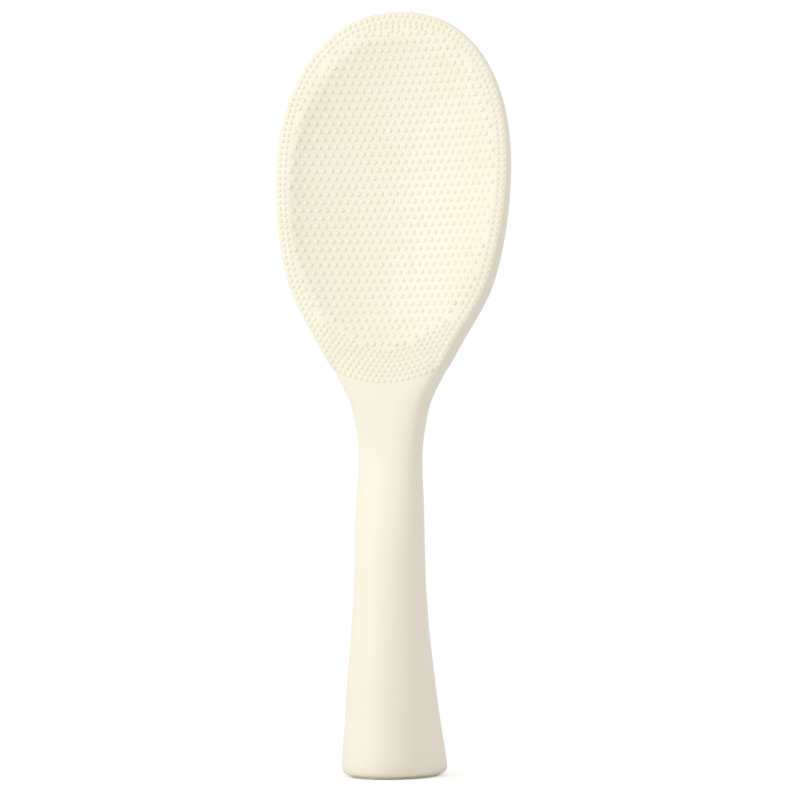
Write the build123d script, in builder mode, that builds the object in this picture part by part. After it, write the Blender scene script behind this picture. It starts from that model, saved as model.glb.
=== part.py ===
from build123d import *
from math import copysign, cos, pi, radians, sin, sqrt, tan
import os

os.makedirs("parts", exist_ok=True)

# A rice paddle that stands on its own foot: +Z up, the rice side faces -Y,
# and the origin is the middle of the flat foot. All sizes are millimetres.

# Blade, seen from the rice side
overall_height = 225.0
tip_rise = 48.5
blade_width = 72.6
tip_fullness_share = 2.22
tongue_rise = 17.0
flank_height_shares = (0.376, 0.568, 0.744, 0.856, 0.92, 0.968)
flank_width_shares = (0.923, 0.818, 0.639, 0.523, 0.449, 0.345)

# Blade, seen from the side: the rim leans back and the tongue tucks into the handle
blade_lean = 5.0
rim_setback = -9.5
rim_bow = 0.5
tuck_length = 8.0
tongue_tuck = 2.4

# Thickness of the blade at its edge, and how far its back swells beyond that
tip_wall = 2.6
middle_wall = 4.6
heel_wall = 9.6
tip_swell = 2.2
middle_swell = 4.2
heel_swell = 1.4
form_margin = 3.0
form_rows = 9
form_end_share = 0.15
front_edge_share = 0.34
back_edge_share = 0.5

# Dish that holds the rice, by the rim that it leaves at the sides, at the tip and above the neck
side_rim = 4.8
tip_rim = 5.55
heel_rim = 29.95
dish_depth = 6.2
dish_dome = 7.0
dish_edge_radius = 2.0

# Handle, from the foot to the neck
foot_width = 29.6
foot_depth = 40.0
foot_setback = 0.3
neck_width = 18.8
neck_depth = 12.2
neck_setback = -3.6
neck_height = 97.0

# Shares of the neck height, then of the way from the foot's size to the neck's
handle_height_shares = (0.0, 0.124, 0.247, 0.392, 0.546, 0.701, 0.845, 1.0)
handle_width_shares = (0.0, 0.14, 0.34, 0.58, 0.78, 0.86, 0.94, 1.0)
handle_depth_shares = (0.0, 0.17, 0.33, 0.49, 0.64, 0.76, 0.88, 1.0)
handle_setback_shares = (0.0, 0.46, 0.80, 1.06, 1.16, 1.22, 1.15, 1.0)
handle_square_shares = (2.0, 2.0, 2.0, 2.05, 2.1, 2.25, 2.5, 3.0)

# Top of the handle, which runs out inside the heel of the blade
run_out_rise = 31.0
run_out_width = 42.5
run_out_depth = 9.0
run_out_setback = -3.7
heel_height_shares = (0.26, 0.39, 0.53, 0.67, 0.84, 1.0)
heel_width_shares = (0.101, 0.181, 0.342, 0.536, 0.785, 1.0)
heel_depth_shares = (0.08, 0.14, 0.27, 0.45, 0.72, 1.0)
heel_setback_shares = (1.8, 2.8, 3.3, 3.3, 2.5, 1.0)
heel_square_shares = (3.4, 3.9, 4.6, 5.5, 6.5, 7.0)

# Edge, wall and hollow of the handle
foot_edge_radius = 2.0
handle_wall = 3.0
hollow_height = 90.0
section_points = 24
overrun = 5.0

# Base plug, which closes the hollow and is what the paddle stands on
plug_proud = 0.6
plug_inset = 2.2
plug_floor = 2.4
plug_skirt_height = 5.4
plug_skirt_wall = 1.4
plug_edge_chamfer = 0.3
fit_clearance = 0.1
collar_height = 6.5
collar_wall = 1.5

# Ballast slug, a turned steel bar that stands in the collar of the plug
slug_diameter = 18.4
slug_length = 17.5
slug_setback = -1.0
slug_chamfer = 0.8


def between(low, high, share):
    """The value that lies this share of the way from low to high."""
    return low + (high - low) * share


def rows_between(start, end, heights, widths, depths, setbacks, squares):
    """Sections on the way from one named section to another, by shares."""
    rows = []
    for shares in zip(heights, widths, depths, setbacks):
        rows.append([between(low, high, share) for low, high, share in zip(start, end, shares)])
    return [row + [square] for row, square in zip(rows, squares)]


# Heights that follow from the sizes above
widest_height = overall_height - tip_rise
tongue_height = neck_height + tongue_rise
tuck_height = tongue_height + tuck_length
run_out_height = neck_height + run_out_rise
dish_top = overall_height - tip_rim
dish_bottom = neck_height + heel_rim
dish_middle_height = (dish_top + dish_bottom) / 2

# Height, width, depth and setback of the named sections, then all sections
foot_section = (plug_proud, foot_width, foot_depth, foot_setback)
neck_section = (neck_height, neck_width, neck_depth, neck_setback)
run_out_section = (run_out_height, run_out_width, run_out_depth, run_out_setback)
handle_rows = rows_between(
    foot_section, neck_section, handle_height_shares, handle_width_shares,
    handle_depth_shares, handle_setback_shares, handle_square_shares,
)
heel_rows = rows_between(
    neck_section, run_out_section, heel_height_shares, heel_width_shares,
    heel_depth_shares, heel_setback_shares, heel_square_shares,
)


def rounded(row, inset):
    """Points of a section between an ellipse and a rounded rectangle, drawn in by an inset."""
    height, width, depth, setback, square = row
    points = []
    for step in range(section_points):
        angle = 2 * pi * step / section_points
        across = copysign(abs(cos(angle)) ** (2 / square), cos(angle))
        along = copysign(abs(sin(angle)) ** (2 / square), sin(angle))
        points.append((
            (width / 2 - inset) * across,
            setback + (depth / 2 - inset) * along,
        ))
    return points


def outline_half_width(height):
    """Half width of the blade's outline at a height, between its points."""
    for high, low in zip(right_points, right_points[1:]):
        if height >= low[1]:
            break
    share = (height - low[1]) / (high[1] - low[1])
    return between(low[0], high[0], share)


def rim_front(height):
    """Y of the front face: it leans back, bows a little forward, and tucks in below."""
    above = height - tongue_height
    bow = rim_bow * sin(pi * above / (overall_height - tongue_height))
    return rim_setback + above * tan(radians(blade_lean)) - bow + tuck(height)


def tuck(height):
    """How far the tongue draws in, so that it ends inside the handle."""
    return tongue_tuck * (max(tuck_height - height, 0) / (tuck_height - tongue_height)) ** 2


def blade_value(height, heel, middle, tip):
    """A value that runs straight from the heel to the middle to the tip."""
    if height > widest_height:
        share = (height - widest_height) / tip_rise
        return between(middle, tip, share)
    share = (widest_height - height) / (widest_height - tongue_height)
    return between(middle, heel, share)


# Points of the blade's outline, from the tip down the right side to the tongue
right_points = [(0, overall_height)]
for degrees in (78, 64, 48, 32, 16):
    right_points.append((
        blade_width / 2 * cos(radians(degrees)) ** (2 / tip_fullness_share),
        widest_height + tip_rise * sin(radians(degrees)) ** (2 / tip_fullness_share),
    ))
right_points.append((blade_width / 2, widest_height))
for height_share, width_share in zip(flank_height_shares, flank_width_shares):
    right_points.append((
        blade_width / 2 * width_share,
        between(widest_height, tongue_height, height_share),
    ))
right_points.append((0, tongue_height))

left_points = [(-across, height) for across, height in right_points[-2:0:-1]]

# Outline of the blade and tongue, as a bar that runs from front to back
with BuildPart() as outline_bar:
    with BuildSketch(Plane.XZ.offset(foot_depth)):
        with BuildLine():
            Spline(*right_points, *left_points, periodic=True)
        make_face()
    extrude(amount=-2 * foot_depth)

# Side view of the front face, as a bar that runs from left to right
side_heights = [
    between(tongue_height - form_margin, overall_height + form_margin, row / form_rows)
    for row in range(form_rows + 1)
]
with BuildPart() as front_bar:
    with BuildSketch(Plane.YZ.offset(-blade_width)):
        with BuildLine():
            face_line = Spline(*[(rim_front(height), height) for height in side_heights])
            Polyline(
                face_line @ 1, (foot_depth, side_heights[-1]),
                (foot_depth, side_heights[0]), face_line @ 0,
            )
        make_face()
    extrude(amount=2 * blade_width)

# Back of the blade, a trough of arcs that is shallow at the tip and deep at the heel
form_low = between(tongue_height, tuck_height, form_end_share)
form_high = between(overall_height, widest_height, form_end_share)
with BuildPart() as back_form:
    for height in side_heights:
        wall = blade_value(height, heel_wall, middle_wall, tip_wall) - 2 * tuck(height)
        swell = blade_value(height, heel_swell, middle_swell, tip_swell)
        half_width = outline_half_width(min(max(height, form_low), form_high))
        reach = half_width + form_margin
        middle = rim_front(height) + wall + swell
        edge = middle - swell * (reach / half_width) ** 2
        with BuildSketch(Plane.XY.offset(height)):
            with BuildLine():
                ThreePointArc((reach, edge), (0, middle), (-reach, edge))
                Polyline((-reach, edge), (-reach, -foot_depth), (reach, -foot_depth), (reach, edge))
            make_face()
    loft()

# Blade: what the outline, the front face and the back share, with rounded edges
with BuildPart() as blade:
    add(outline_bar.part)
    add(front_bar.part, mode=Mode.INTERSECT)
    add(back_form.part, mode=Mode.INTERSECT)
    fillet(blade.faces().sort_by(Axis.Y)[-1].edges(), tip_wall * back_edge_share)
    fillet(blade.faces().sort_by(Axis.Y)[0].edges(), tip_wall * front_edge_share)

# Dish tool, a flattened dome that leans as the rim does
dome_radius = dish_depth + dish_dome
rim_share = sqrt(1 - (dish_dome / dome_radius) ** 2)
with BuildPart() as dish_tool:
    Sphere(dome_radius)
    scale(by=(
        (blade_width / 2 - side_rim) / rim_share / dome_radius,
        1,
        (dish_top - dish_bottom) / 2 / rim_share / dome_radius,
    ))
dish_place = Location(
    (0, rim_front(dish_middle_height) - dish_dome, dish_middle_height), (-blade_lean, 0, 0)
)


def section_at(height):
    """The handle's section at any height, between its rows."""
    for low, high in zip(handle_rows, handle_rows[1:]):
        if height <= high[0]:
            break
    share = (height - low[0]) / (high[0] - low[0])
    return [between(start, end, share) for start, end in zip(low, high)]


# Hollow of the handle, a wall's thickness inside it and open at the foot
hollow_rows = [section_at(plug_proud - overrun)]
hollow_rows += [row for row in handle_rows if row[0] < hollow_height]
hollow_rows.append(section_at(hollow_height))
with BuildPart() as hollow:
    for row in hollow_rows:
        with BuildSketch(Plane.XY.offset(row[0])):
            with BuildLine():
                Spline(*rounded(row, handle_wall), periodic=True)
            make_face()
    loft()

# Paddle body: blade, neck and hollow handle in one moulding
with BuildPart() as paddle_body:
    for row in handle_rows + heel_rows:
        with BuildSketch(Plane.XY.offset(row[0])):
            with BuildLine():
                Spline(*rounded(row, 0), periodic=True)
            make_face()
    loft()
    fillet(paddle_body.faces().sort_by(Axis.Z)[0].edges(), foot_edge_radius)
    add(blade.part)
    with Locations(dish_place):
        add(dish_tool.part, mode=Mode.SUBTRACT)
    fillet(paddle_body.edges(Select.LAST), dish_edge_radius)
    add(hollow.part, mode=Mode.SUBTRACT)

paddle_body.part.label = "paddle_body"
export_step(paddle_body.part, "parts/paddle_body.step")

# Base plug: a flat sole, a skirt that fills the mouth of the hollow, and a collar
skirt_inset = handle_wall + fit_clearance
skirt_top = plug_proud + plug_skirt_height
socket_radius = slug_diameter / 2 + fit_clearance
with BuildPart() as base_plug:
    with BuildSketch(Plane.XY):
        with BuildLine():
            Spline(*rounded(section_at(plug_proud), plug_inset), periodic=True)
        make_face()
    extrude(amount=plug_proud)
    chamfer(base_plug.faces().sort_by(Axis.Z)[0].edges(), plug_edge_chamfer)
    for height in (plug_proud, skirt_top):
        with BuildSketch(Plane.XY.offset(height)):
            with BuildLine():
                Spline(*rounded(section_at(height), skirt_inset), periodic=True)
            make_face()
    loft()
    for height in (plug_floor, skirt_top):
        with BuildSketch(Plane.XY.offset(height)):
            with BuildLine():
                Spline(*rounded(section_at(height), skirt_inset + plug_skirt_wall), periodic=True)
            make_face()
    loft(mode=Mode.SUBTRACT)
    with BuildSketch(Plane.XY.offset(plug_floor)):
        with Locations((0, slug_setback)):
            Circle(socket_radius + collar_wall)
    extrude(amount=collar_height)
    with BuildSketch(Plane.XY.offset(plug_floor)):
        with Locations((0, slug_setback)):
            Circle(socket_radius)
    extrude(amount=collar_height, mode=Mode.SUBTRACT)

base_plug.part.label = "base_plug"
export_step(base_plug.part, "parts/base_plug.step")

# Ballast slug
with BuildPart() as ballast_slug:
    with BuildSketch(Plane.XY.offset(plug_floor)):
        with Locations((0, slug_setback)):
            Circle(slug_diameter / 2)
    extrude(amount=slug_length)
    chamfer(ballast_slug.edges().filter_by(GeomType.CIRCLE), slug_chamfer)

ballast_slug.part.label = "ballast_slug"
export_step(ballast_slug.part, "parts/ballast_slug.step")
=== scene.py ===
"""A rice paddle that stands on its foot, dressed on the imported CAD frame.

Every length is in metres. The rice side faces -Y, +Z runs from the foot to the tip of the
blade, and each finished piece keeps its object at the origin with its place in its mesh.
"""

import math

import bmesh
import bpy
from mathutils import Matrix, Vector
from mathutils.bvhtree import BVHTree


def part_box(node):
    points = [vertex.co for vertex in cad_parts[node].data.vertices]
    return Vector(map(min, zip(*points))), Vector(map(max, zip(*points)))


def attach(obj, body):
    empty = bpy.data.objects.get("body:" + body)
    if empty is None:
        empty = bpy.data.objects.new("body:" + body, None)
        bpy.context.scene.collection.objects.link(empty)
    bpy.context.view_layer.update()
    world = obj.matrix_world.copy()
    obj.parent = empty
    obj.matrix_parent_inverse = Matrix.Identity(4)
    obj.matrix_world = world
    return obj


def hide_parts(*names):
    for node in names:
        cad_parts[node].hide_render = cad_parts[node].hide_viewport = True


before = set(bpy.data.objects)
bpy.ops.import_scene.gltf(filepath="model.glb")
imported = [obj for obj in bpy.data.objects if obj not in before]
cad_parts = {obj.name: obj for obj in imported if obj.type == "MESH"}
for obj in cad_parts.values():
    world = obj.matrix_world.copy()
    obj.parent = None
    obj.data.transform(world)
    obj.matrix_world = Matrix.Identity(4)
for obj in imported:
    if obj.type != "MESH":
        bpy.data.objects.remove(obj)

bl_info = {
    "name": "Rice paddle",
    "version": (1, 0, 0),
    "blender": (4, 5, 0),
    "location": "3D View > Sidebar > Paddle",
    "description": "Moulds a beaded rice paddle with its foot plug and weight, and sets the table",
    "category": "Object",
}

# Reading of the CAD skin; the edge is searched from a middle point, in degrees from the tip
MERGE_DISTANCE = 0.000002
EDGE_STEPS = 240
EDGE_SWEEP = 170
EDGE_MIDDLE_HEIGHT = 0.17
EDGE_FIRST_REACH = 0.002
EDGE_REACH_STEP = 0.0002
EDGE_REACH_STEPS = 400
RAY_MARGIN = 0.01
RAY_START = -0.05

# Rows of beads: most rows that are tried, and the shares that keep them inside the outline
RIM_ROWS = 9
FULL_RIM_ROWS = 2
FIELD_ROWS = 60
FIELD_COLUMNS = 20
STAGGER = 0.5
BORDER_POINTS = 20
BORDER_SHARE = 0.95
INSET_SHARE = 0.985
TIP_GAP = 0.0009

# One bead
BEAD_SEGMENTS = 10
BEAD_RINGS = 8
BEAD_SINK = 0.00004

# Angles up to which a piece is shaded smooth
BODY_SMOOTH_ANGLE = math.radians(40)
BEAD_SMOOTH_ANGLE = math.radians(60)
PLUG_SMOOTH_ANGLE = math.radians(28)
SLUG_SMOOTH_ANGLE = math.radians(30)

# Noises as waves per metre and detail, the part of a noise that is used, and the values it gives
NOISE_LOW = 0.3
NOISE_HIGH = 0.7
MOTTLE = (38, 3)
SHEEN = (420, 2)
SHEEN_RANGE = (0.4, 0.5)
GRAIN = (3200, 2)
PLUG_TONE_SHARE = 0.96
STEEL_MOTTLE = (260, 4)
STEEL_SHEEN = (900, 2)
STEEL_SHEEN_RANGE = (0.28, 0.42)
STEEL_DARK_SHARE = 0.82

# Turned weight: its groove as shares of its radius, and its softened edges
SLUG_SIDES = 64
UPWARD = 0.9
GROOVE_INSET_SHARE = 0.82
GROOVE_WIDTH_SHARE = 0.06
BEVEL_WIDTH = 0.0008
BEVEL_ANGLE = math.radians(60)

# Stage
TABLE_SIZE = 6
TABLE_TONE = 0.82
TABLE_GLOW = 0.36
KEY_PLACE = (-0.76, -1.07, 0.62)
KEY_AIM = (0, 0, 0.13)
KEY_SIZE = 0.6
SENSOR_WIDTH = 36


# Settings


class MouldSettings(bpy.types.PropertyGroup):
    """Surface of the moulded body"""

    light_tone: bpy.props.FloatVectorProperty(
        name="Light tone",
        description="Ivory of the plastic where it is thinnest",
        default=(0.885, 0.842, 0.705),
        subtype="COLOR",
        size=3,
    )
    warm_tone: bpy.props.FloatVectorProperty(
        name="Warm tone",
        description="Ivory of the plastic where it is thickest",
        default=(0.87, 0.822, 0.675),
        subtype="COLOR",
        size=3,
    )


class BeadSettings(bpy.types.PropertyGroup):
    """Raised beads that keep rice from sticking to the blade"""

    field_pitch: bpy.props.FloatProperty(
        name="Field pitch",
        description="Distance between beads along a level row of the dish",
        default=0.00234,
        unit="LENGTH",
    )
    field_step: bpy.props.FloatProperty(
        name="Field step",
        description="Height from one level row to the next",
        default=0.00235,
        unit="LENGTH",
    )
    field_top: bpy.props.FloatProperty(
        name="Field top",
        description="Height of the highest level row",
        default=0.2184,
        unit="LENGTH",
    )
    field_radius: bpy.props.FloatProperty(
        name="Field bead radius",
        description="Radius of a bead of the level rows at its base",
        default=0.00078,
        unit="LENGTH",
    )
    field_rise: bpy.props.FloatProperty(
        name="Field bead rise",
        description="How far a bead of the level rows stands out",
        default=0.00036,
        unit="LENGTH",
    )
    field_bottom: bpy.props.FloatProperty(
        name="Field bottom",
        description="Height of the lowest place of the level rows, in the middle",
        default=0.1258,
        unit="LENGTH",
    )
    field_shoulder: bpy.props.FloatProperty(
        name="Field shoulder",
        description="Height above which the level rows reach the rim rows",
        default=0.1338,
        unit="LENGTH",
    )
    clearance: bpy.props.FloatProperty(
        name="Clearance",
        description="Least distance from a bead of the level rows to a rim bead",
        default=0.00142,
        unit="LENGTH",
    )
    rim_pitch: bpy.props.FloatProperty(
        name="Rim pitch",
        description="Distance between beads along a row that follows the rim",
        default=0.00185,
        unit="LENGTH",
    )
    rim_step: bpy.props.FloatProperty(
        name="Rim step",
        description="Distance from the outermost rim row to the second",
        default=0.0016,
        unit="LENGTH",
    )
    heel_step: bpy.props.FloatProperty(
        name="Heel step",
        description="Distance from one row to the next at the heel and the tip",
        default=0.00142,
        unit="LENGTH",
    )
    rim_margin: bpy.props.FloatProperty(
        name="Rim margin",
        description="Distance from the blade's edge to the outermost row",
        default=0.0012,
        unit="LENGTH",
    )
    rim_radius: bpy.props.FloatProperty(
        name="Rim bead radius",
        description="Radius of a rim bead at its base",
        default=0.00066,
        unit="LENGTH",
    )
    rim_rise: bpy.props.FloatProperty(
        name="Rim bead rise",
        description="How far a rim bead stands out",
        default=0.00032,
        unit="LENGTH",
    )
    border_height: bpy.props.FloatProperty(
        name="Border height",
        description="Height of the lowest bead, in the middle of the heel",
        default=0.1158,
        unit="LENGTH",
    )
    border_radius: bpy.props.FloatProperty(
        name="Border radius",
        description="Radius of the arc that the beads end on above the neck",
        default=0.034,
        unit="LENGTH",
    )
    dish_middle: bpy.props.FloatProperty(
        name="Dish middle",
        description="Height of the middle of the dish",
        default=0.1732,
        unit="LENGTH",
    )


class SlugSettings(bpy.types.PropertyGroup):
    """Turned steel bar in the foot"""

    groove: bpy.props.FloatProperty(
        name="Groove",
        description="Depth of the lathe's parting groove on the top face",
        default=0.0002,
        unit="LENGTH",
    )
    tone: bpy.props.FloatVectorProperty(
        name="Steel tone",
        description="Colour of the turned steel",
        default=(0.52, 0.52, 0.54),
        subtype="COLOR",
        size=3,
    )


class StageSettings(bpy.types.PropertyGroup):
    """Table, lamp and camera"""

    bearing: bpy.props.FloatProperty(
        name="Bearing",
        description="How far round to the right of the rice side the camera stands",
        default=math.radians(20),
        subtype="ANGLE",
    )
    distance: bpy.props.FloatProperty(
        name="Distance",
        description="Level distance from the paddle to the camera",
        default=1.12,
        unit="LENGTH",
    )
    eye: bpy.props.FloatProperty(
        name="Eye height",
        description="Height of the camera above the table",
        default=0.088,
        unit="LENGTH",
    )
    aim: bpy.props.FloatVectorProperty(
        name="Aim",
        description="Point that the camera looks at",
        default=(0.00138, 0.0005, 0.1104),
        subtype="TRANSLATION",
        size=3,
    )
    lens: bpy.props.FloatProperty(
        name="Lens",
        description="Focal length on a 36 mm sensor, in millimetres",
        default=171.1,
    )
    key_power: bpy.props.FloatProperty(
        name="Key power",
        description="Power of the large lamp on the left, in watts",
        default=6.4,
    )
    room_light: bpy.props.FloatProperty(
        name="Room light",
        description="Light that comes evenly from the white room",
        default=0.815,
    )


# Small helpers


def alone(obj=None):
    """Leave object mode's selection holding only this object."""
    if bpy.context.mode != "OBJECT":
        bpy.ops.object.mode_set(mode="OBJECT")
    bpy.ops.object.select_all(action="DESELECT")
    if obj is not None:
        obj.select_set(True)
        bpy.context.view_layer.objects.active = obj
    return obj


def merged_copy(node, name):
    """A copy of a CAD node whose loose triangles are joined into one skin."""
    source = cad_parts[node]
    copy = bpy.data.objects.new(name, source.data.copy())
    bpy.context.scene.collection.objects.link(copy)
    alone(copy)
    copy.data.materials.clear()
    bpy.ops.object.mode_set(mode="EDIT")
    bpy.ops.mesh.select_all(action="SELECT")
    bpy.ops.mesh.remove_doubles(threshold=MERGE_DISTANCE)
    bpy.ops.object.mode_set(mode="OBJECT")
    return copy


def finish_piece(piece, material, node):
    """Give a piece its material, tie it to the body, and hide the node that it stands for."""
    piece.data.materials.clear()
    piece.data.materials.append(material)
    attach(piece, "root")
    if node is not None:
        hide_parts(node)
    alone()


def new_material(name):
    """An empty node material with its shader and its output."""
    material = bpy.data.materials.new(name)
    material.use_nodes = True
    nodes = material.node_tree.nodes
    nodes.clear()
    shader = nodes.new("ShaderNodeBsdfPrincipled")
    output = nodes.new("ShaderNodeOutputMaterial")
    material.node_tree.links.new(shader.outputs[0], output.inputs["Surface"])
    return material, material.node_tree, shader


def noise(tree, scale, detail):
    """A noise on object coordinates, with its scale in waves per metre."""
    where = tree.nodes.new("ShaderNodeTexCoord")
    field = tree.nodes.new("ShaderNodeTexNoise")
    field.inputs["Scale"].default_value = scale
    field.inputs["Detail"].default_value = detail
    tree.links.new(where.outputs["Object"], field.inputs["Vector"])
    return field.outputs["Fac"]


def spread(tree, source, low, high):
    """Maps the middle of a noise to a range of values."""
    ramp = tree.nodes.new("ShaderNodeMapRange")
    ramp.inputs["From Min"].default_value = NOISE_LOW
    ramp.inputs["From Max"].default_value = NOISE_HIGH
    ramp.inputs["To Min"].default_value = low
    ramp.inputs["To Max"].default_value = high
    tree.links.new(source, ramp.inputs["Value"])
    return ramp.outputs["Result"]


def ivory_plastic(name, light_tone, warm_tone):
    """Moulded ivory plastic: an even, slightly mottled tone and a fine tool grain."""
    material, tree, shader = new_material(name)
    tone = tree.nodes.new("ShaderNodeMix")
    tone.data_type = "RGBA"
    tone.inputs["A"].default_value = (*light_tone, 1)
    tone.inputs["B"].default_value = (*warm_tone, 1)
    tree.links.new(spread(tree, noise(tree, *MOTTLE), 0, 1), tone.inputs["Factor"])
    tree.links.new(tone.outputs["Result"], shader.inputs["Base Color"])
    sheen = spread(tree, noise(tree, *SHEEN), *SHEEN_RANGE)
    tree.links.new(sheen, shader.inputs["Roughness"])
    grain = tree.nodes.new("ShaderNodeBump")
    grain.inputs["Strength"].default_value = 0.12
    grain.inputs["Distance"].default_value = 0.00003
    tree.links.new(noise(tree, *GRAIN), grain.inputs["Height"])
    tree.links.new(grain.outputs["Normal"], shader.inputs["Normal"])
    shader.inputs["IOR"].default_value = 1.46
    shader.inputs["Specular IOR Level"].default_value = 0.42
    return material


def turned_steel(name, tone_value):
    """Turned steel with the fine rings that a lathe leaves."""
    material, tree, shader = new_material(name)
    where = tree.nodes.new("ShaderNodeTexCoord")
    rings = tree.nodes.new("ShaderNodeTexWave")
    rings.wave_type = "RINGS"
    rings.rings_direction = "Z"
    rings.inputs["Scale"].default_value = 900
    rings.inputs["Distortion"].default_value = 0.4
    tree.links.new(where.outputs["Object"], rings.inputs["Vector"])
    tone = tree.nodes.new("ShaderNodeMix")
    tone.data_type = "RGBA"
    tone.inputs["A"].default_value = (*tone_value, 1)
    tone.inputs["B"].default_value = (*[STEEL_DARK_SHARE * part for part in tone_value], 1)
    tree.links.new(spread(tree, noise(tree, *STEEL_MOTTLE), 0, 1), tone.inputs["Factor"])
    tree.links.new(tone.outputs["Result"], shader.inputs["Base Color"])
    sheen = spread(tree, noise(tree, *STEEL_SHEEN), *STEEL_SHEEN_RANGE)
    tree.links.new(sheen, shader.inputs["Roughness"])
    groove = tree.nodes.new("ShaderNodeBump")
    groove.inputs["Strength"].default_value = 0.2
    groove.inputs["Distance"].default_value = 0.00004
    tree.links.new(rings.outputs["Fac"], groove.inputs["Height"])
    tree.links.new(groove.outputs["Normal"], shader.inputs["Normal"])
    shader.inputs["Metallic"].default_value = 1
    return material


# Moulded body


class PADDLE_OT_moulded_body(bpy.types.Operator):
    """Lays an even, smooth skin over the blade, the neck and the handle"""

    bl_idname = "paddle.moulded_body"
    bl_label = "Moulded body"

    def execute(self, context):
        settings = context.scene.paddle_mould
        body = merged_copy("paddle_body", "moulded_body")
        bpy.ops.object.shade_smooth_by_angle(angle=BODY_SMOOTH_ANGLE)
        if not body.data.polygons:
            raise RuntimeError("the body's skin came out empty")
        plastic = ivory_plastic("ivory_plastic", settings.light_tone, settings.warm_tone)
        finish_piece(body, plastic, "paddle_body")
        return {"FINISHED"}


# Beads


def edge_points(tree):
    """Right half of the blade's edge from the tip down, as (x, z), read off the skin."""
    low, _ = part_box("paddle_body")
    middle = Vector((0, 0, EDGE_MIDDLE_HEIGHT))
    points = []
    for step in range(EDGE_STEPS + 1):
        turn = math.radians(90 - EDGE_SWEEP * step / EDGE_STEPS)
        away = Vector((math.cos(turn), 0, math.sin(turn)))
        reach = None
        for span in range(EDGE_REACH_STEPS):
            spot = middle + away * (EDGE_FIRST_REACH + span * EDGE_REACH_STEP)
            start = Vector((spot.x, low.y - RAY_MARGIN, spot.z))
            hit = tree.ray_cast(start, Vector((0, 1, 0)))
            if hit[0] is None:
                break
            reach = spot
        points.append((reach.x, reach.z))
    return points


class PADDLE_OT_blade_beads(bpy.types.Operator):
    """Models one bead and sets it in level rows in the dish and in rows that follow the rim"""

    bl_idname = "paddle.blade_beads"
    bl_label = "Blade beads"

    def execute(self, context):
        settings = context.scene.paddle_beads
        skin = bpy.data.objects["moulded_body"]
        graph = context.evaluated_depsgraph_get()
        tree = BVHTree.FromObject(skin, graph)
        right = edge_points(tree)
        places = bead_places(settings, right)
        beads = []
        for radius, rise, spots in places:
            beads.append(set_beads(radius, rise, spots, tree))
        alone(beads[0])
        beads[1].select_set(True)
        bpy.ops.object.join()
        piece = context.view_layer.objects.active
        piece.name = "blade_beads"
        piece.data.name = "blade_beads"
        finish_piece(piece, bpy.data.materials["ivory_plastic"], None)
        return {"FINISHED"}


def inside_distance(point, outline):
    """Distance from a point to a closed outline, positive inside it."""
    x, z = point
    nearest = 1.0
    inside = False
    last = outline[-1]
    for spot in outline:
        ax, az = last
        bx, bz = spot
        dx, dz = bx - ax, bz - az
        length = dx * dx + dz * dz
        share = 0 if length == 0 else max(0, min(1, ((x - ax) * dx + (z - az) * dz) / length))
        nearest = min(nearest, math.hypot(x - ax - dx * share, z - az - dz * share))
        if (az > z) != (bz > z) and x < ax + (z - az) * dx / dz:
            inside = not inside
        last = spot
    return nearest if inside else -nearest


def inset_outline(outline, distance):
    """The outline drawn in by a distance; points that come too near to it are dropped."""
    count = len(outline)
    drawn = []
    for index in range(count):
        ax, az = outline[index - 1]
        bx, bz = outline[(index + 1) % count]
        length = math.hypot(bx - ax, bz - az)
        x, z = outline[index]
        spot = (x + (az - bz) / length * -distance, z + (bx - ax) / length * -distance)
        if inside_distance(spot, outline) > distance * INSET_SHARE:
            drawn.append(spot)
    return drawn


def from_bottom(outline):
    """The closed outline, started where it crosses the middle plane at the heel."""
    lowest = None
    for index, (bx, bz) in enumerate(outline):
        ax, az = outline[index - 1]
        if ax * bx <= 0 and ax != bx:
            height = az + (bz - az) * ax / (ax - bx)
            if lowest is None or height < lowest[0]:
                lowest = (height, index)
    height, index = lowest
    return [(0.0, height)] + outline[index:] + outline[:index]


def walk(outline, pitch, start):
    """Evenly spaced points along a closed outline, from the middle of the heel."""
    outline = from_bottom(outline)
    count = len(outline)
    lengths = [math.dist(outline[index], outline[(index + 1) % count]) for index in range(count)]
    number = round(sum(lengths) / pitch)
    step = sum(lengths) / number
    spots = []
    ahead = step * start
    for index, length in enumerate(lengths):
        ax, az = outline[index]
        bx, bz = outline[(index + 1) % count]
        while ahead < length and len(spots) < number:
            share = ahead / length
            spots.append((ax + (bx - ax) * share, az + (bz - az) * share))
            ahead += step
        ahead -= length
    return spots


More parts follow.
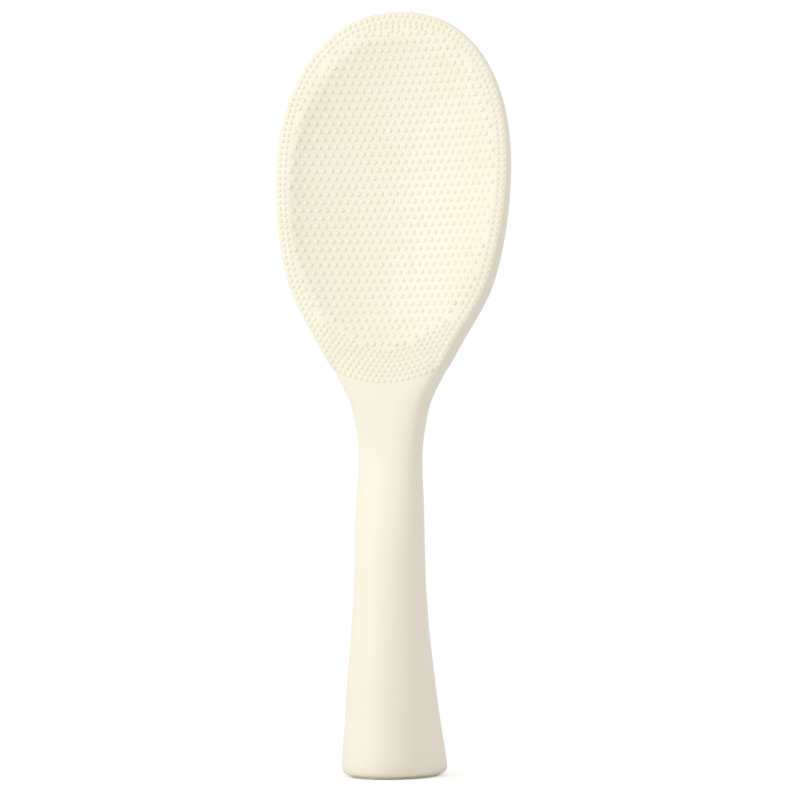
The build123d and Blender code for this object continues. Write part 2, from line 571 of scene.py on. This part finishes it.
def bead_places(settings, right):
    """Places of the level rows and of the rim rows, each with its bead's size."""
    edge = right + [(-x, z) for x, z in reversed(right[1:])]
    border_middle = settings.border_height + settings.border_radius
    margin = settings.rim_margin
    zone = []
    for x, z in inset_outline(edge, margin):
        across = min(abs(x), settings.border_radius * BORDER_SHARE)
        border = border_middle - math.sqrt(settings.border_radius ** 2 - across ** 2)
        if z > border:
            zone.append((x, z))
    zone.sort(key=lambda spot: -math.atan2(spot[0], settings.dish_middle - spot[1]) % math.tau)
    ends = (zone[0], zone[-1])
    reach = min(abs(end[0]) for end in ends)
    border_row = []
    for step in range(-BORDER_POINTS, BORDER_POINTS + 1):
        x = reach * step / (BORDER_POINTS + 1)
        border_row.append((x, border_middle - math.sqrt(settings.border_radius ** 2 - x * x)))
    if ends[1][0] > 0:
        border_row.reverse()
    zone = zone + border_row
    rim = []
    for row in range(RIM_ROWS):
        depth = 0 if row == 0 else settings.rim_step + (row - 1) * settings.heel_step
        line = zone if row == 0 else inset_outline(zone, depth)
        for spot in walk(line, settings.rim_pitch, STAGGER * (row % 2)):
            if row < FULL_RIM_ROWS or not in_field(settings, spot):
                rim.append(spot)
    field = []
    for row in range(FIELD_ROWS):
        z = settings.field_top - row * settings.field_step
        for column in range(-FIELD_COLUMNS, FIELD_COLUMNS + 1):
            spot = ((column + STAGGER * (row % 2)) * settings.field_pitch, z)
            if not in_field(settings, spot) or inside_distance(spot, zone) < settings.rim_step:
                continue
            if min(math.dist(spot, other) for other in rim) > settings.clearance:
                field.append(spot)
    return [
        (settings.field_radius, settings.field_rise, field),
        (settings.rim_radius, settings.rim_rise, rim),
    ]


def in_field(settings, spot):
    """Whether a place belongs to the level rows, which the rim rows go round."""
    x, z = spot
    if z > settings.field_top + TIP_GAP:
        return False
    middle = settings.border_height + settings.border_radius
    reach = math.hypot(x, middle - z)
    return z > settings.field_shoulder or reach < middle - settings.field_bottom


def set_beads(radius, rise, spots, tree):
    """One bead, modelled as a dome and copied to every place, square to the skin."""
    alone()
    bpy.ops.mesh.primitive_uv_sphere_add(segments=BEAD_SEGMENTS, ring_count=BEAD_RINGS, radius=1)
    bead = bpy.context.object
    bpy.ops.object.mode_set(mode="EDIT")
    bpy.ops.mesh.select_all(action="SELECT")
    bpy.ops.mesh.bisect(
        plane_co=(0, 0, 0), plane_no=(0, 0, 1), clear_inner=True, use_fill=True, threshold=0.001
    )
    bpy.ops.mesh.select_all(action="SELECT")
    bpy.ops.transform.resize(value=(radius, radius, rise), center_override=(0, 0, 0))
    bpy.ops.transform.translate(value=(0, 0, -BEAD_SINK))
    bpy.ops.object.mode_set(mode="OBJECT")
    bpy.ops.object.shade_smooth_by_angle(angle=BEAD_SMOOTH_ANGLE)
    shape = bmesh.new()
    shape.from_mesh(bead.data)
    verts = [vert.co.copy() for vert in shape.verts]
    faces = [[vert.index for vert in face.verts] for face in shape.faces]
    smooth = [face.smooth for face in shape.faces]
    shape.free()
    all_verts, all_faces, all_smooth = [], [], []
    for x, z in spots:
        hit, normal, _, _ = tree.ray_cast(Vector((x, RAY_START, z)), Vector((0, 1, 0)))
        if hit is None:
            continue
        turn = normal.to_track_quat("Z", "Y").to_matrix().to_4x4()
        place = Matrix.Translation(hit) @ turn
        first = len(all_verts)
        all_verts += [place @ vert for vert in verts]
        all_faces += [[first + index for index in face] for face in faces]
        all_smooth += smooth
    mesh = bpy.data.meshes.new("beads")
    mesh.from_pydata(all_verts, [], all_faces)
    mesh.polygons.foreach_set("use_smooth", all_smooth)
    field = bpy.data.objects.new("beads", mesh)
    bpy.context.scene.collection.objects.link(field)
    bpy.data.objects.remove(bead)
    return field


# Foot plug and weight


class PADDLE_OT_foot_plug(bpy.types.Operator):
    """Dresses the plug that closes the foot"""

    bl_idname = "paddle.foot_plug"
    bl_label = "Foot plug"

    def execute(self, context):
        settings = context.scene.paddle_mould
        plug = merged_copy("base_plug", "foot_plug")
        bpy.ops.object.shade_smooth_by_angle(angle=PLUG_SMOOTH_ANGLE)
        tone = [PLUG_TONE_SHARE * part for part in settings.warm_tone]
        plastic = ivory_plastic("plug_plastic", settings.light_tone, tone)
        finish_piece(plug, plastic, "base_plug")
        return {"FINISHED"}


class PADDLE_OT_foot_weight(bpy.types.Operator):
    """Turns the steel bar that stands in the plug's collar"""

    bl_idname = "paddle.foot_weight"
    bl_label = "Foot weight"

    def execute(self, context):
        settings = context.scene.paddle_slug
        low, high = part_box("ballast_slug")
        middle = (low + high) / 2
        radius = (high.x - low.x) / 2
        alone()
        bpy.ops.mesh.primitive_cylinder_add(
            vertices=SLUG_SIDES, radius=radius, depth=high.z - low.z, location=middle
        )
        slug = context.object
        slug.name = "foot_weight"
        bpy.ops.object.transform_apply(location=True, rotation=True, scale=True)
        bpy.ops.object.mode_set(mode="EDIT")
        bpy.ops.mesh.select_all(action="DESELECT")
        shape = bmesh.from_edit_mesh(slug.data)
        for face in shape.faces:
            face.select = face.normal.z > UPWARD
        bmesh.update_edit_mesh(slug.data)
        bpy.ops.mesh.inset(thickness=radius * GROOVE_INSET_SHARE, depth=0)
        bpy.ops.mesh.inset(thickness=radius * GROOVE_WIDTH_SHARE, depth=-settings.groove)
        bpy.ops.object.mode_set(mode="OBJECT")
        soften = slug.modifiers.new("soften", "BEVEL")
        soften.width = BEVEL_WIDTH
        soften.segments = 2
        soften.limit_method = "ANGLE"
        soften.angle_limit = BEVEL_ANGLE
        bpy.ops.object.modifier_apply(modifier="soften")
        bpy.ops.object.shade_smooth_by_angle(angle=SLUG_SMOOTH_ANGLE)
        steel = turned_steel("turned_steel", settings.tone)
        finish_piece(slug, steel, "ballast_slug")
        return {"FINISHED"}


# Stage


def white_room(room_light):
    """A world that gives even light and looks white to the camera and in reflections."""
    world = bpy.data.worlds.new("white_room")
    bpy.context.scene.world = world
    world.use_nodes = True
    tree = world.node_tree
    tree.nodes.clear()
    path = tree.nodes.new("ShaderNodeLightPath")
    seen = tree.nodes.new("ShaderNodeMath")
    seen.operation = "MAXIMUM"
    tree.links.new(path.outputs["Is Camera Ray"], seen.inputs[0])
    mirrored = tree.nodes.new("ShaderNodeMath")
    mirrored.operation = "MAXIMUM"
    tree.links.new(path.outputs["Is Glossy Ray"], mirrored.inputs[0])
    tree.links.new(path.outputs["Is Transmission Ray"], mirrored.inputs[1])
    tree.links.new(mirrored.outputs[0], seen.inputs[1])
    strength = tree.nodes.new("ShaderNodeMapRange")
    strength.inputs["To Min"].default_value = room_light
    strength.inputs["To Max"].default_value = 1
    tree.links.new(seen.outputs[0], strength.inputs["Value"])
    background = tree.nodes.new("ShaderNodeBackground")
    background.inputs["Color"].default_value = (1, 1, 1, 1)
    tree.links.new(strength.outputs["Result"], background.inputs["Strength"])
    output = tree.nodes.new("ShaderNodeOutputWorld")
    tree.links.new(background.outputs[0], output.inputs["Surface"])


def table_material():
    """A white table that melts into the background and keeps a soft shadow."""
    material = bpy.data.materials.new("white_table")
    material.use_nodes = True
    tree = material.node_tree
    tree.nodes.clear()
    board = tree.nodes.new("ShaderNodeBsdfDiffuse")
    board.inputs["Color"].default_value = (TABLE_TONE, TABLE_TONE, TABLE_TONE, 1)
    glow = tree.nodes.new("ShaderNodeEmission")
    path = tree.nodes.new("ShaderNodeLightPath")
    strength = tree.nodes.new("ShaderNodeMath")
    strength.operation = "MULTIPLY"
    strength.inputs[1].default_value = TABLE_GLOW
    tree.links.new(path.outputs["Is Camera Ray"], strength.inputs[0])
    tree.links.new(strength.outputs[0], glow.inputs["Strength"])
    both = tree.nodes.new("ShaderNodeAddShader")
    tree.links.new(board.outputs[0], both.inputs[0])
    tree.links.new(glow.outputs[0], both.inputs[1])
    output = tree.nodes.new("ShaderNodeOutputMaterial")
    tree.links.new(both.outputs[0], output.inputs["Surface"])
    return material


def lamp(name, place, aim, size, power):
    """A soft square lamp that faces a point."""
    bpy.ops.object.light_add(type="AREA", location=place)
    light = bpy.context.object
    light.name = name
    light.data.shape = "SQUARE"
    light.data.size = size
    light.data.energy = power
    light.rotation_euler = (Vector(aim) - Vector(place)).to_track_quat("-Z", "Y").to_euler()


class PADDLE_OT_table_and_lamps(bpy.types.Operator):
    """Sets the white table, the soft lamp and the camera"""

    bl_idname = "paddle.table_and_lamps"
    bl_label = "Table and lamps"

    def execute(self, context):
        settings = context.scene.paddle_stage
        alone()
        bpy.ops.mesh.primitive_plane_add(size=TABLE_SIZE, location=(0, 0, 0))
        table = context.object
        table.name = "white_table"
        table.data.materials.append(table_material())
        white_room(settings.room_light)
        lamp("key_lamp", KEY_PLACE, KEY_AIM, KEY_SIZE, settings.key_power)
        bearing = settings.bearing
        spot = Vector((
            settings.distance * math.sin(bearing),
            -settings.distance * math.cos(bearing),
            settings.eye,
        ))
        bpy.ops.object.camera_add(location=spot)
        camera = context.object
        camera.name = "photo_camera"
        camera.rotation_euler = (Vector(settings.aim) - spot).to_track_quat("-Z", "Y").to_euler()
        camera.data.sensor_width = SENSOR_WIDTH
        camera.data.lens = settings.lens
        context.scene.camera = camera
        context.scene.view_settings.view_transform = "Standard"
        alone()
        return {"FINISHED"}


class PADDLE_PT_pieces(bpy.types.Panel):
    """Lists the paddle's pieces in the sidebar"""

    bl_idname = "PADDLE_PT_pieces"
    bl_label = "Rice paddle"
    bl_space_type = "VIEW_3D"
    bl_region_type = "UI"
    bl_category = "Paddle"

    def draw(self, context):
        column = self.layout.column()
        for operator in OPERATORS:
            column.operator(operator.bl_idname)


SETTINGS = {
    "paddle_mould": MouldSettings,
    "paddle_beads": BeadSettings,
    "paddle_slug": SlugSettings,
    "paddle_stage": StageSettings,
}
OPERATORS = (
    PADDLE_OT_moulded_body,
    PADDLE_OT_blade_beads,
    PADDLE_OT_foot_plug,
    PADDLE_OT_foot_weight,
    PADDLE_OT_table_and_lamps,
)


def register():
    for settings in SETTINGS.values():
        bpy.utils.register_class(settings)
    for name, settings in SETTINGS.items():
        setattr(bpy.types.Scene, name, bpy.props.PointerProperty(type=settings))
    for operator in OPERATORS:
        bpy.utils.register_class(operator)
    bpy.utils.register_class(PADDLE_PT_pieces)


def unregister():
    bpy.utils.unregister_class(PADDLE_PT_pieces)
    for operator in reversed(OPERATORS):
        bpy.utils.unregister_class(operator)
    for name, settings in SETTINGS.items():
        delattr(bpy.types.Scene, name)
        bpy.utils.unregister_class(settings)


def main():
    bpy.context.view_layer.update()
    register()
    bpy.ops.paddle.moulded_body()
    bpy.ops.paddle.blade_beads()
    bpy.ops.paddle.foot_plug()
    bpy.ops.paddle.foot_weight()
    bpy.ops.paddle.table_and_lamps()


if __name__ == "__main__":
    main()
